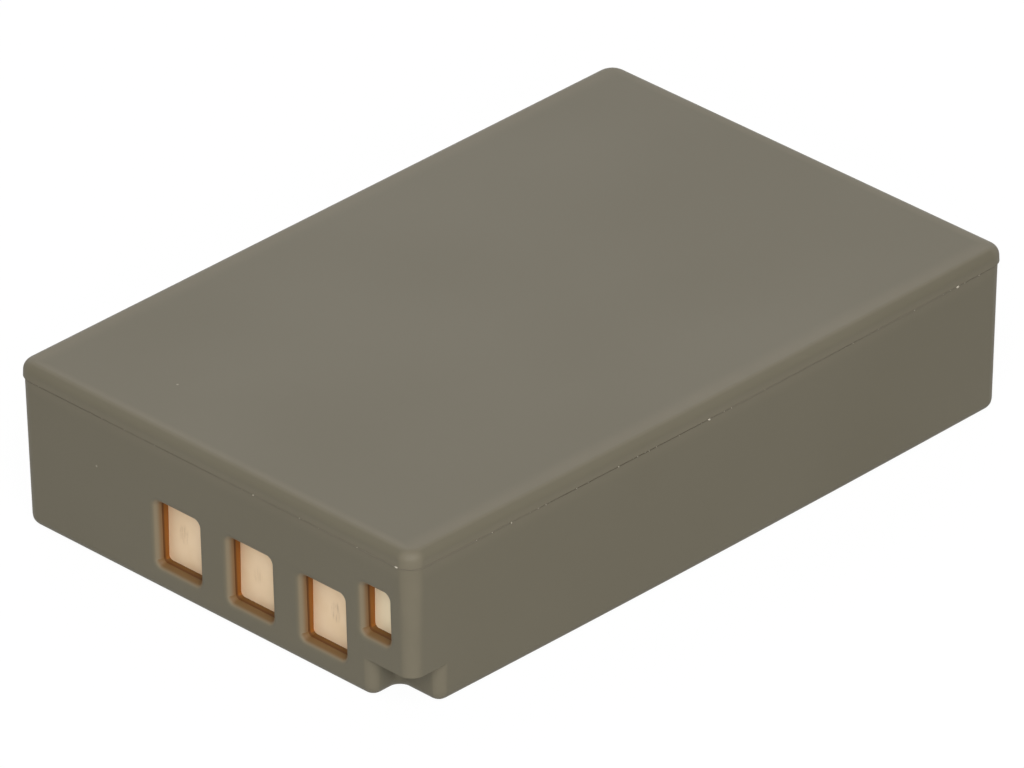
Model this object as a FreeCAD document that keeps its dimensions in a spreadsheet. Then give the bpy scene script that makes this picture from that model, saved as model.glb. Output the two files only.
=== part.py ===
import FreeCAD, Part
import math
import os
from types import SimpleNamespace
import Sketcher

# A two-cell rechargeable camera battery, in millimetres.
# The frame stands at the middle of the underside: X across, Y along the pack, Z up.
# The contacts look out of the end at -Y, and the key notch is in the lower corner at +X.

document = FreeCAD.newDocument("camera_battery")

# Driving dimensions

driving = {
    # The closed pack, measured over the cover at the seam
    "pack_length": 55.0,
    "pack_width": 35.8,
    "pack_height": 12.2,
    "side_bow": 0.2,
    "side_bow_reach": 20.0,
    "corner_radius": 1.25,
    # The cover
    "cover_side": 1.1,
    "cover_plate": 0.85,
    "cover_draft_degrees": 2.0,
    "cover_overhang": 0.08,
    "cover_edge_radius": 0.7,
    "lip_depth": 0.6,
    "lip_thickness": 0.45,
    "lip_clearance": 0.1,
    # The lower case
    "case_wall": 0.8,
    "case_floor": 0.8,
    "case_draft_degrees": 1.5,
    "base_edge_radius": 0.8,
    "rim_edge_chamfer": 0.12,
    "cavity_corner_radius": 0.4,
    "contact_setback": 1.38,
    # The key notch
    "notch_width": 3.75,
    "notch_depth": 2.65,
    "notch_height": 2.9,
    "notch_edge_beyond_base": 0.05,
    "notch_inner_radius": 0.5,
    # The contact windows
    "wide_window_width": 3.75,
    "wide_window_height": 4.65,
    "wide_window_sill": 1.95,
    "wide_window_pitch": 6.55,
    "narrow_window_width": 2.23,
    "narrow_window_height": 3.58,
    "narrow_window_pitch": 4.8,
    "narrow_window_from_side": 3.48,
    "narrow_window_above_notch": 1.04,
    "window_corner_radius": 0.35,
    "window_lead_radius": 0.6,
    # The contacts and the board
    "contact_thickness": 0.3,
    "contact_overlap": 0.4,
    "contact_corner_radius": 0.3,
    "contact_leg_size": 0.6,
    "contact_leg_inset": 1.2,
    "contact_leg_tail": 0.4,
    "leg_hole_clearance": 0.1,
    "board_thickness": 0.8,
    "board_clearance": 0.4,
    "board_corner_radius": 0.3,
    "board_rib_height": 1.4,
    "board_rib_width": 0.9,
    "board_rib_thickness": 0.8,
    "board_rib_radius": 0.15,
    "board_rib_gap": 0.05,
    "board_rib_pitch": 10.5,
    # The parts on the back of the board
    "board_part_gap": 0.6,
    "chip_length": 2.0,
    "chip_width": 1.2,
    "chip_height": 0.9,
    "chip_lead_length": 0.2,
    "chip_lead_width": 0.3,
    "chip_lead_height": 0.2,
    "chip_lead_pitch": 0.65,
    "switch_length": 3.0,
    "switch_width": 1.2,
    "switch_height": 0.9,
    "switch_lead_pitch": 0.65,
    "resistor_length": 1.6,
    "resistor_width": 0.8,
    "resistor_height": 0.45,
    "capacitor_height": 0.8,
    "small_part_pitch": 1.5,
    "thermistor_below_top": 2.7,
    "thermistor_length": 2.0,
    "thermistor_width": 1.25,
    "thermistor_height": 0.9,
    # The cells
    "wiring_space": 2.8,
    "cell_side_clearance": 0.2,
    "cell_flat_side": 0.4,
    "cell_end_chamfer": 0.4,
    "gasket_width": 5.4,
    "gasket_height": 2.8,
    "gasket_thickness": 0.3,
    "terminal_width": 3.6,
    "terminal_height": 1.8,
    "terminal_thickness": 0.4,
    "plug_radius": 0.9,
    "plug_thickness": 0.3,
    "plug_from_middle": 10.0,
    # Pads, tapes and cards
    "base_pad_thickness": 0.25,
    "cover_pad_thickness": 0.25,
    "cover_pad_clearance": 0.1,
    "tape_thickness": 0.15,
    "pad_margin": 3.0,
    "end_foam_clearance": 0.05,
    "end_foam_thickness": 0.6,
    "card_thickness": 0.15,
    "card_margin": 0.6,
    "card_corner_radius": 0.3,
    "card_clearance": 0.3,
    # The nickel strips and the fuse
    "strip_thickness": 0.15,
    "strip_bend_share": 0.4,
    "strip_width": 2.0,
    "foot_length": 1.6,
    "tab_width": 1.6,
    "link_reach": 6.0,
    "cap_weld_inset": 2.2,
    "fuse_length": 7.5,
    "fuse_width": 3.0,
    "fuse_thickness": 0.9,
    "fuse_corner_radius": 0.4,
}


sheet = document.addObject("Spreadsheet::Sheet", "sizes")
for row, (alias, number) in enumerate(driving.items(), start=1):
    sheet.set("A" + str(row), alias)
    sheet.set("B" + str(row), str(number))
    sheet.setAlias("B" + str(row), alias)
document.recompute()


class Size:
    """A length that holds its number and the sheet expression that gives the same number."""

    def __init__(self, number, text):
        self.number = number
        self.text = text

    def __add__(self, other):
        other = as_size(other)
        return Size(self.number + other.number, "(" + self.text + " + " + other.text + ")")

    def __radd__(self, other):
        return as_size(other) + self

    def __sub__(self, other):
        other = as_size(other)
        return Size(self.number - other.number, "(" + self.text + " - " + other.text + ")")

    def __rsub__(self, other):
        return as_size(other) - self

    def __mul__(self, other):
        other = as_size(other)
        return Size(self.number * other.number, "(" + self.text + " * " + other.text + ")")

    def __rmul__(self, other):
        return as_size(other) * self

    def __truediv__(self, other):
        other = as_size(other)
        return Size(self.number / other.number, "(" + self.text + " / " + other.text + ")")

    def __neg__(self):
        return Size(-self.number, "(0 - " + self.text + ")")


def as_size(value):
    """A plain number as a Size, so that both kinds mix in a formula."""
    if isinstance(value, Size):
        return value
    return Size(value, repr(float(value)))


def slope(degrees):
    """How far a wall leans in for each millimetre of height."""
    number = math.tan(math.radians(degrees.number))
    return Size(number, "tan(" + degrees.text + " * 1 deg)")


size = SimpleNamespace(**{alias: Size(number, "sizes." + alias) for alias, number in driving.items()})

# Sizes that follow from the driving ones

half_length = size.pack_length / 2
half_width = size.pack_width / 2
seam = size.pack_height - size.cover_side
case_slope = slope(size.case_draft_degrees)
contact_front = -half_length + size.contact_setback
contact_back = contact_front + size.contact_thickness
board_back = contact_back + size.board_thickness
cap_plane = board_back + size.wiring_space
notch_roof = size.notch_height + size.case_wall
notch_inner_x = half_width - size.notch_width
notch_inner_y = -half_length + size.notch_depth


def case_inset(height):
    """How far the drafted outer wall of the case stands inside the cover's edge at a height."""
    return size.cover_overhang + (seam - height) * case_slope


def cavity_x(height):
    return half_width - case_inset(height) - size.case_wall


def cavity_y(height):
    return half_length - case_inset(height) - size.case_wall


wide_top = size.wide_window_sill + size.wide_window_height
narrow_sill = notch_roof + size.narrow_window_above_notch
narrow_top = narrow_sill + size.narrow_window_height
narrow_x = half_width - size.narrow_window_from_side
third_x = narrow_x - size.narrow_window_pitch
second_x = third_x - size.wide_window_pitch
first_x = second_x - size.wide_window_pitch

cell_roof = size.pack_height - size.cover_plate
cell_stack = cell_roof - size.case_floor - size.base_pad_thickness - size.cover_pad_thickness
cell_thickness = (cell_stack - size.tape_thickness - size.cover_pad_clearance) / 2
lower_cell_bottom = size.case_floor + size.base_pad_thickness
lower_cell_top = lower_cell_bottom + cell_thickness
upper_cell_bottom = lower_cell_top + size.tape_thickness
upper_cell_top = upper_cell_bottom + cell_thickness
lower_middle = lower_cell_bottom + cell_thickness / 2
upper_middle = upper_cell_bottom + cell_thickness / 2
cell_half_width = cavity_x(lower_cell_bottom) - size.cell_side_clearance
cell_end = cavity_y(lower_cell_bottom) - size.end_foam_clearance - size.end_foam_thickness
cell_radius = (cell_thickness - size.cell_flat_side) / 2

strip = size.strip_thickness
half_tab = size.tab_width / 2
card_end = cell_half_width - size.pad_margin
link_left = size.link_reach - size.strip_width / 2
fuse_left = size.cap_weld_inset + size.strip_width - cell_half_width + size.card_clearance
fuse_right = fuse_left + size.fuse_length

# Helpers for building


def bind(thing, prop, value):
    """Ties one property of an object to the sheet."""
    thing.setExpression(prop, as_size(value).text)


def new_body(label):
    body = document.addObject("PartDesign::Body", label)
    body.Label = label
    return body


def new_sketch(body, name, plane, offset):
    """A sketch on one of the body's own planes, moved along the plane's normal by the offset."""
    sketch = body.newObject("Sketcher::SketchObject", name)
    roles = {item.Role: item for item in body.Origin.OriginFeatures}
    sketch.AttachmentSupport = [(roles[plane], "")]
    sketch.MapMode = "FlatFace"
    bind(sketch, "AttachmentOffset.Base.z", offset)
    return sketch


def end_number(sketch, index, point):
    """Which end of a line or arc lies at the point: 1 for its start and 2 for its end."""
    item = sketch.Geometry[index]
    near_start = item.StartPoint.distanceToPoint(point) < item.EndPoint.distanceToPoint(point)
    return 1 if near_start else 2


def named_constraint(sketch, name, value, *parts):
    """A dimension of the sketch that follows the sheet."""
    number = sketch.addConstraint(Sketcher.Constraint(*parts, as_size(value).number))
    sketch.renameConstraint(number, name)
    bind(sketch, "Constraints." + name, value)


def bowed(x, reach):
    """Radius and middle of the bowed side's arc, which runs out straight to the ends of the side."""
    radius = size.side_bow_reach * (reach - size.side_bow_reach / 2) / size.side_bow
    return radius, x + size.side_bow - radius


def bow_way(radius, end):
    """Which way the bowed side faces at the upper (1) or lower (-1) end of its arc."""
    angle = math.asin(size.side_bow_reach.number / radius.number)
    return FreeCAD.Vector(math.cos(angle), end * math.sin(angle), 0)


def add_bow(sketch, name, radius, middle, start, finish):
    """The bowed side: a straight run, the shallow arc and another straight run that touch in turn."""
    centre = FreeCAD.Vector(middle.number, 0, 0)
    low = centre + bow_way(radius, -1) * radius.number
    high = centre + bow_way(radius, 1) * radius.number
    apex = FreeCAD.Vector(middle.number + radius.number, 0, 0)
    low_run = sketch.addGeometry(Part.LineSegment(start, low), False)
    arc = sketch.addGeometry(Part.Arc(low, apex, high), False)
    high_run = sketch.addGeometry(Part.LineSegment(high, finish), False)
    arc_low = (arc, end_number(sketch, arc, low))
    arc_high = (arc, end_number(sketch, arc, high))
    sketch.addConstraint(Sketcher.Constraint("Tangent", low_run, 2, *arc_low))
    sketch.addConstraint(Sketcher.Constraint("Tangent", *arc_high, high_run, 1))
    sketch.addConstraint(Sketcher.Constraint("PointOnObject", arc, 3, -1))
    named_constraint(sketch, name + "_bulge", radius, "Radius", arc)
    named_constraint(sketch, name + "_middle", middle, "DistanceX", -1, 1, arc, 3)
    named_constraint(sketch, name + "_bow_low", -size.side_bow_reach, "DistanceY", -1, 1, *arc_low)
    named_constraint(sketch, name + "_bow_high", size.side_bow_reach, "DistanceY", -1, 1, *arc_high)
    return low_run, high_run


def add_outline(sketch, name, sides, radii, bow=None):
    """A closed outline with a round at each corner, of one radius or of a radius for each corner.

    The sides are in turn upright and level, each given by its place on the other axis,
    and run anticlockwise from the right-hand one. With a bow that one bulges outwards.
    """
    count = len(sides)
    if isinstance(radii, Size):
        radii = [radii] * count
    turns = [radius.number for radius in radii]
    corners = []
    for index in range(count):
        here = sides[index].number
        after = sides[(index + 1) % count].number
        corners.append(FreeCAD.Vector(here, after, 0) if index % 2 == 0 else FreeCAD.Vector(after, here, 0))
    ways = []
    for index in range(count):
        way = corners[index] - corners[index - 1]
        way.normalize()
        ways.append(way)
    round_starts = [corners[i] - ways[i] * turns[i] for i in range(count)]
    round_ends = [corners[i] + ways[(i + 1) % count] * turns[i] for i in range(count)]
    round_centres = [round_starts[i] + ways[(i + 1) % count] * turns[i] for i in range(count)]
    if bow is not None:
        radius, middle = bow
        for index, way in ((0, bow_way(radius, 1)), (-1, bow_way(radius, -1))):
            inside = radius.number - turns[index] - round_centres[index].y * way.y
            round_centres[index].x = middle.number + inside / way.x
        round_starts[0] = round_centres[0] + bow_way(radius, 1) * turns[0]
        round_ends[0].x = round_centres[0].x
        round_starts[-1].x = round_centres[-1].x
        round_ends[-1] = round_centres[-1] + bow_way(radius, -1) * turns[-1]
    entering = []
    leaving = []
    for index in range(count):
        ends = (round_ends[index - 1], round_starts[index])
        if bow is not None and index == 0:
            low_run, high_run = add_bow(sketch, name, radius, middle, *ends)
        else:
            low_run = high_run = sketch.addGeometry(Part.LineSegment(*ends), False)
        entering.append(low_run)
        leaving.append(high_run)
    rounds = []
    for index in range(count):
        out = round_starts[index] + round_ends[index] - round_centres[index] * 2
        out.normalize()
        mid = round_centres[index] + out * turns[index]
        ends = [round_starts[index], round_ends[index]]
        if ways[index].cross(ways[(index + 1) % count]).z < 0:
            ends.reverse()
        rounds.append(sketch.addGeometry(Part.Arc(ends[0], mid, ends[1]), False))
    for index in range(count):
        before = leaving[index]
        after = entering[(index + 1) % count]
        first = (before, end_number(sketch, before, round_starts[index]))
        arc_start = (rounds[index], end_number(sketch, rounds[index], round_starts[index]))
        arc_end = (rounds[index], end_number(sketch, rounds[index], round_ends[index]))
        second = (after, end_number(sketch, after, round_ends[index]))
        sketch.addConstraint(Sketcher.Constraint("Tangent", *first, *arc_start))
        sketch.addConstraint(Sketcher.Constraint("Tangent", *arc_end, *second))
    alike = {}
    for index, radius in enumerate(radii):
        if radius.text in alike:
            sketch.addConstraint(Sketcher.Constraint("Equal", alike[radius.text], rounds[index]))
        else:
            alike[radius.text] = rounds[index]
            named_constraint(sketch, name + "_round_" + str(index), radius, "Radius", rounds[index])
    for index in range(0 if bow is None else 1, count):
        upright = index % 2 == 0
        sketch.addConstraint(Sketcher.Constraint("Vertical" if upright else "Horizontal", leaving[index]))
        place = name + "_side_" + str(index)
        kind = "DistanceX" if upright else "DistanceY"
        named_constraint(sketch, place, sides[index], kind, -1, 1, leaving[index], 1)


def add_rectangle(sketch, name, sides):
    """A closed rectangle with sharp corners. The sides run anticlockwise from the right one."""
    right, top, left, low = sides
    places = [(right, low), (right, top), (left, top), (left, low)]
    corners = [FreeCAD.Vector(x.number, y.number, 0) for x, y in places]
    lines = []
    for index in range(len(corners)):
        after = corners[(index + 1) % len(corners)]
        lines.append(sketch.addGeometry(Part.LineSegment(corners[index], after), False))
    for index, line in enumerate(lines):
        after = lines[(index + 1) % len(lines)]
        sketch.addConstraint(Sketcher.Constraint("Coincident", line, 2, after, 1))
        upright = index % 2 == 0
        sketch.addConstraint(Sketcher.Constraint("Vertical" if upright else "Horizontal", line))
        kind = "DistanceX" if upright else "DistanceY"
        named_constraint(sketch, name + "_side_" + str(index), sides[index], kind, -1, 1, line, 1)


def hollow(body, name, low, high):
    """A cut with straight walls between two outlines."""
    document.recompute()
    feature = body.newObject("PartDesign::SubtractiveLoft", name)
    feature.Profile = low
    feature.Sections = [high]
    feature.Ruled = True
    document.recompute()


def pad(body, name, sketch, length, backwards=False):
    document.recompute()
    feature = body.newObject("PartDesign::Pad", name)
    feature.Profile = sketch
    bind(feature, "Length", length)
    feature.Reversed = backwards
    document.recompute()
    return feature


def pocket(body, name, sketch, length, backwards=False):
    """A cut that has to take material away."""
    document.recompute()
    before = body.Shape.Volume
    feature = body.newObject("PartDesign::Pocket", name)
    feature.Profile = sketch
    bind(feature, "Length", length)
    feature.Reversed = backwards
    document.recompute()
    if feature.Shape.Volume >= before:
        raise RuntimeError(name + " cuts nothing")
    return feature


def dress(body, kind, name, base, chosen, amount):
    """Softens the edges of the base feature for which chosen says yes."""
    names = ["Edge" + str(i) for i, edge in enumerate(base.Shape.Edges, start=1) if chosen(edge)]
    if not names:
        raise RuntimeError(name + " finds no edge")
    feature = body.newObject("PartDesign::" + kind, name)
    feature.Base = (base, names)
    bind(feature, "Radius" if kind == "Fillet" else "Size", amount)
    document.recompute()
    if "Invalid" in feature.State:
        raise RuntimeError(name + " can't be made")
    return feature


def fillet(body, name, base, chosen, radius):
    return dress(body, "Fillet", name, base, chosen, radius)


def chamfer(body, name, base, chosen, width):
    return dress(body, "Chamfer", name, base, chosen, width)


near = 1e-4


def joined(body, name, other):
    """One form from the body so far and another body."""
    feature = body.newObject("PartDesign::Boolean", name)
    feature.Type = "Fuse"
    feature.setObjects([other])
    document.recompute()
    if len(feature.Shape.Solids) != 1:
        raise RuntimeError(name + " isn't one solid")
    return feature


def lean(body, name, block, height, degrees, wider_above=False):
    """Leans a block's upright faces about their outline at a height."""
    level_plane = body.newObject("PartDesign::Plane", name + "_plane")
    roles = {item.Role: item for item in body.Origin.OriginFeatures}
    level_plane.AttachmentSupport = [(roles["XY_Plane"], "")]
    level_plane.MapMode = "FlatFace"
    bind(level_plane, "AttachmentOffset.Base.z", height)
    faces = enumerate(block.Shape.Faces, start=1)
    sides = ["Face" + str(i) for i, face in faces if abs(face.normalAt(0, 0).z) < near]
    draft = body.newObject("PartDesign::Draft", name)
    draft.Base = (block, sides)
    draft.NeutralPlane = (level_plane, [""])
    draft.Reversed = wider_above
    bind(draft, "Angle", degrees)
    document.recompute()
    if "Invalid" in draft.State:
        raise RuntimeError(name + " can't be made")
    return draft


def level(edge, height):
    return all(abs(point.Z - height) < near for point in edge.Vertexes)


def box(label, x_from, x_to, y_from, y_to, z_from, z_to):
    solid = document.addObject("Part::Box", label)
    solid.Label = label
    bind(solid, "Length", as_size(x_to) - x_from)
    bind(solid, "Width", as_size(y_to) - y_from)
    bind(solid, "Height", as_size(z_to) - z_from)
    bind(solid, "Placement.Base.x", x_from)
    bind(solid, "Placement.Base.y", y_from)
    bind(solid, "Placement.Base.z", z_from)
    return solid


def fused(label, solids):
    """One solid from overlapping or touching blocks."""
    whole = document.addObject("Part::MultiFuse", label)
    whole.Label = label
    whole.Shapes = solids
    whole.Refine = True
    return whole


def group(label, solids):
    """Like parts that stay separate solids under one name."""
    whole = document.addObject("Part::Compound", label)
    whole.Label = label
    whole.Links = solids
    return whole


pieces = []

# The lower case


def ring_sides(inset):
    """A rectangle inside the pack's nominal outline by the inset."""
    x = half_width - inset
    y = half_length - inset
    return [x, y, -x, -y]


def windows():
    """Name, middle, width, sill and top of each window, from the pack's middle to the notch side."""
    wide = size.wide_window_width
    return [
        ("positive", first_x, wide, size.wide_window_sill, wide_top),
        ("temperature", second_x, wide, size.wide_window_sill, wide_top),
        ("negative", third_x, wide, size.wide_window_sill, wide_top),
        ("data", narrow_x, size.narrow_window_width, narrow_sill, narrow_top),
    ]


def lower_case():
    """The moulded tub: leaning walls, a key notch with walls round it, and four contact windows."""
    body = new_body("lower_case")
    height = size.notch_height
    sides = ring_sides(case_inset(height))
    corner = size.corner_radius - (seam - height) * case_slope
    outline = new_sketch(body, "upper_block_outline", "XY_Plane", height)
    add_outline(outline, "upper", sides, corner, case_bow(height))
    form = pad(body, "upper_block", outline, seam - height)
    lean(body, "upper_block_lean", form, height, size.case_draft_degrees, wider_above=True)
    form = joined(body, "outer_block", block_round_notch(height, sides, corner))
    chamfer(body, "rim_chamfer", form, lambda edge: level(edge, seam.number), size.rim_edge_chamfer)
    cut_windows(body)
    cut_cavity(body)
    add_board_ribs(body)
    return body


def case_bow(height):
    """The bowed side at a height: the lean takes the same amount off its radius as off the wall."""
    right, reach = ring_sides(case_inset(seam))[:2]
    radius, middle = bowed(right, reach)
    return radius - (seam - height) * case_slope, middle


def block_round_notch(height, sides, corner):
    """The block below the notch's roof, drawn round the notch, with the round of the underside.

    Its rounds shrink towards the underside, and the notch's outer uprights
    still stay just larger than the round of the underside there.
    """
    body = new_body("notched_block")
    upright = size.base_edge_radius + size.notch_edge_beyond_base + height * case_slope
    rounds = [corner, corner, corner, upright, size.notch_inner_radius, upright]
    outline = new_sketch(body, "lower_block_outline", "XY_Plane", height)
    add_outline(outline, "lower", sides + [notch_inner_x, notch_inner_y], rounds, case_bow(height))
    form = pad(body, "lower_block", outline, height, backwards=True)
    form = lean(body, "lower_block_lean", form, height, size.case_draft_degrees, wider_above=True)
    fillet(body, "base_round", form, lambda edge: level(edge, 0), size.base_edge_radius)
    return body


def cut_cavity(body):
    """The hollow has a full upper part and a lower part that goes round the notch."""

    def full(height):
        return [cavity_x(height), cavity_y(height), -cavity_x(height), contact_front]

    def notched(height):
        return full(height) + [notch_inner_x - size.case_wall, notch_inner_y + size.case_wall]

    radius = size.cavity_corner_radius
    ledge = new_sketch(body, "cavity_ledge_outline", "XY_Plane", notch_roof)
    add_outline(ledge, "ledge", full(notch_roof), radius)
    mouth = new_sketch(body, "cavity_mouth_outline", "XY_Plane", seam)
    add_outline(mouth, "mouth", full(seam), radius)
    hollow(body, "cavity_upper", ledge, mouth)
    floor = new_sketch(body, "cavity_floor_outline", "XY_Plane", size.case_floor)
    add_outline(floor, "floor", notched(size.case_floor), radius)
    top = new_sketch(body, "cavity_notched_outline", "XY_Plane", notch_roof)
    add_outline(top, "top", notched(notch_roof), radius)
    hollow(body, "cavity_lower", floor, top)


def window_rim(edge):
    """True for an edge where a window opens in the outer end face."""
    for point in edge.Vertexes:
        outside = -(half_length - case_inset(as_size(point.Z))).number
        if abs(point.Y - outside) > near:
            return False
    middle = edge.CenterOfMass
    for name, x, width, sill, top in windows():
        beside = abs(middle.x - x.number) < width.number / 2 + near
        if beside and sill.number - near < middle.z < top.number + near:
            return True
    return False


def cut_windows(body):
    """Three wide windows and a narrow one, each with a rounded lead-in for the camera's pins."""
    sketch = new_sketch(body, "window_outlines", "XZ_Plane", half_length)
    for name, middle, width, sill, top in windows():
        sides = [middle + width / 2, top, middle - width / 2, sill]
        add_outline(sketch, name, sides, size.window_corner_radius)
    through = size.contact_setback + size.contact_thickness
    form = pocket(body, "windows", sketch, through)
    fillet(body, "window_lead_in", form, window_rim, size.window_lead_radius)


def add_board_ribs(body):
    """Three short ribs stand behind the board's lower edge and keep it against the end wall."""
    inside_floor = size.case_floor / 2
    sketch = new_sketch(body, "board_rib_outlines", "XY_Plane", inside_floor)
    front = board_back + size.board_rib_gap
    for place, shift in (("left", -1), ("middle", 0), ("right", 1)):
        middle = second_x - size.wide_window_pitch / 2 + size.board_rib_pitch * shift
        left = middle - size.board_rib_width / 2
        right = middle + size.board_rib_width / 2
        sides = [right, front + size.board_rib_thickness, left, front]
        add_outline(sketch, place, sides, size.board_rib_radius)
    pad(body, "board_ribs", sketch, size.board_rib_height + size.case_floor - inside_floor)


pieces.append(lower_case())

# The cover


def upper_cover():
    """A shallow lid with a soft upper edge, and a lip below that drops inside the case's walls."""
    body = new_body("upper_cover")
    edge = new_sketch(body, "cover_edge_outline", "XY_Plane", seam)
    add_outline(edge, "edge", ring_sides(as_size(0)), size.corner_radius, bowed(half_width, half_length))
    block = pad(body, "cover_block", edge, size.cover_side)
    form = lean(body, "cover_lean", block, seam, size.cover_draft_degrees)
    top = size.pack_height.number
    fillet(body, "cover_round", form, lambda e: level(e, top), size.cover_edge_radius)
    reach = size.lip_clearance
    lip = [cavity_x(seam) - reach, cavity_y(seam) - reach, reach - cavity_x(seam), contact_front + reach]
    thick = size.lip_thickness
    inside = [lip[0] - thick, lip[1] - thick, lip[2] + thick, lip[3] + thick]
    low = new_sketch(body, "lip_outline", "XY_Plane", seam)
    add_outline(low, "lip", lip, size.cavity_corner_radius)
    pad(body, "lip", low, size.lip_depth, backwards=True)
    under = new_sketch(body, "cover_hollow_outline", "XY_Plane", seam - size.lip_depth)
    add_outline(under, "inside", inside, size.cavity_corner_radius)
    depth = cell_roof - seam + size.lip_depth
    pocket(body, "cover_hollow", under, depth, backwards=True)
    return body


pieces.append(upper_cover())

# The contacts and the board


def contact_legs(middle, sill, top):
    """Two legs of a contact, one near each end of its plate, as sides of small squares."""
    half = size.contact_leg_size / 2
    legs = []
    for height in (sill + size.contact_leg_inset, top - size.contact_leg_inset):
        legs.append([middle + half, height + half, middle - half, height - half])
    return legs


def contact(name, middle, width, sill, top):
    """A gold-plated plate behind a window, with two legs that pass through the board."""
    body = new_body("contact_" + name)
    over = size.contact_overlap
    plate = new_sketch(body, name + "_plate_outline", "XZ_Plane", -contact_front)
    sides = [middle + width / 2 + over, top + over, middle - width / 2 - over, sill - over]
    add_outline(plate, "plate", sides, size.contact_corner_radius)
    pad(body, name + "_plate", plate, size.contact_thickness, backwards=True)
    legs = new_sketch(body, name + "_leg_outlines", "XZ_Plane", -contact_front)
    for number, leg in enumerate(contact_legs(middle, sill, top)):
        add_rectangle(legs, "leg" + str(number), leg)
    through = size.contact_thickness + size.board_thickness + size.contact_leg_tail
    pad(body, name + "_legs", legs, through, backwards=True)
    return body


def protection_board():
    """The circuit board, relieved at the corner where the notch's walls stand."""
    body = new_body("protection_board")
    outline = new_sketch(body, "board_outline", "XZ_Plane", -contact_back)
    gap = size.board_clearance
    low = size.case_floor + gap
    high = seam - size.lip_depth - gap / 2
    right = cavity_x(low) - gap
    relief_x = notch_inner_x - size.case_wall - gap
    relief_z = notch_roof + gap / 2
    add_outline(outline, "board", [right, high, -right, low, relief_x, relief_z], size.board_corner_radius)
    pad(body, "board_plate", outline, size.board_thickness, backwards=True)
    holes = new_sketch(body, "leg_hole_outlines", "XZ_Plane", -contact_back)
    room = size.leg_hole_clearance
    for name, middle, width, sill, top in windows():
        for number, leg in enumerate(contact_legs(middle, sill, top)):
            hole = [leg[0] + room, leg[1] + room, leg[2] - room, leg[3] - room]
            add_rectangle(holes, name + "_hole" + str(number), hole)
    pocket(body, "leg_holes", holes, size.board_thickness)
    return body


for window in windows():
    pieces.append(contact(*window))
pieces.append(protection_board())

# The parts on the back of the board


def on_board(label, x, z, length, width, height):
    """A block that stands on the back of the board, centred at x and z."""
    left = x - length / 2
    low = z - width / 2
    return box(label, left, left + length, board_back, board_back + height, low, low + width)


def leaded_chip(label, x, length, width, height, lead_pitch, lead_count):
    """A moulded chip between the contacts' legs and the tabs, with leads above and below it."""
    legs_top = wide_top - size.contact_leg_inset + size.contact_leg_size / 2
    z = (legs_top + upper_middle - half_tab) / 2
    blocks = [on_board(label + "_body", x, z, length, width, height)]
    span = width + size.chip_lead_length * 2
    for number in range(lead_count):
        shift = lead_pitch * (number - (lead_count - 1) / 2)
        name = label + "_lead" + str(number)
        blocks.append(on_board(name, x + shift, z, size.chip_lead_width, span, size.chip_lead_height))
    return fused(label, blocks)


midpoint_foot = size.terminal_width / 2
chip_x = midpoint_foot - size.board_part_gap - size.chip_length / 2
chip = (size.chip_length, size.chip_width, size.chip_height, size.chip_lead_pitch)
chip_lead_count = 3
pieces.append(leaded_chip("protection_ic", chip_x, *chip, chip_lead_count))
switch_x = midpoint_foot + size.foot_length + size.board_part_gap + size.switch_length / 2
switch = (size.switch_length, size.switch_width, size.switch_height, size.switch_lead_pitch)
switch_lead_count = 4
pieces.append(leaded_chip("switch_mosfets", switch_x, *switch, switch_lead_count))
bead_x = (first_x + second_x) / 2
bead_z = wide_top - size.thermistor_below_top
bead = (size.thermistor_length, size.thermistor_width, size.thermistor_height)
pieces.append(on_board("thermistor", bead_x, bead_z, *bead))


def small_parts(label, beside, z, height, count):
    """A row of like chip parts, from just beside a place towards the board's free end."""
    first = beside - size.board_part_gap - size.resistor_width / 2
    solids = []
    for number in range(count):
        x = first - size.small_part_pitch * number
        name = label + str(number)
        solids.append(on_board(name, x, z, size.resistor_width, size.resistor_length, height))
    return group(label, solids)


resistor_count = 4
capacitor_count = 3
resistor_row = lower_middle + half_tab + size.board_part_gap + size.resistor_length / 2
resistors = (first_x - size.wide_window_width / 2, resistor_row, size.resistor_height, resistor_count)
pieces.append(small_parts("board_resistors", *resistors))
capacitors = (fuse_right - size.foot_length, upper_middle, size.capacitor_height, capacitor_count)
pieces.append(small_parts("board_capacitors", *capacitors))

# The cells

terminal_face = cap_plane - size.gasket_thickness - size.terminal_thickness


def at_cell_end(edge):
    return all(abs(point.Y - cell_end.number) < near for point in edge.Vertexes)


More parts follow.
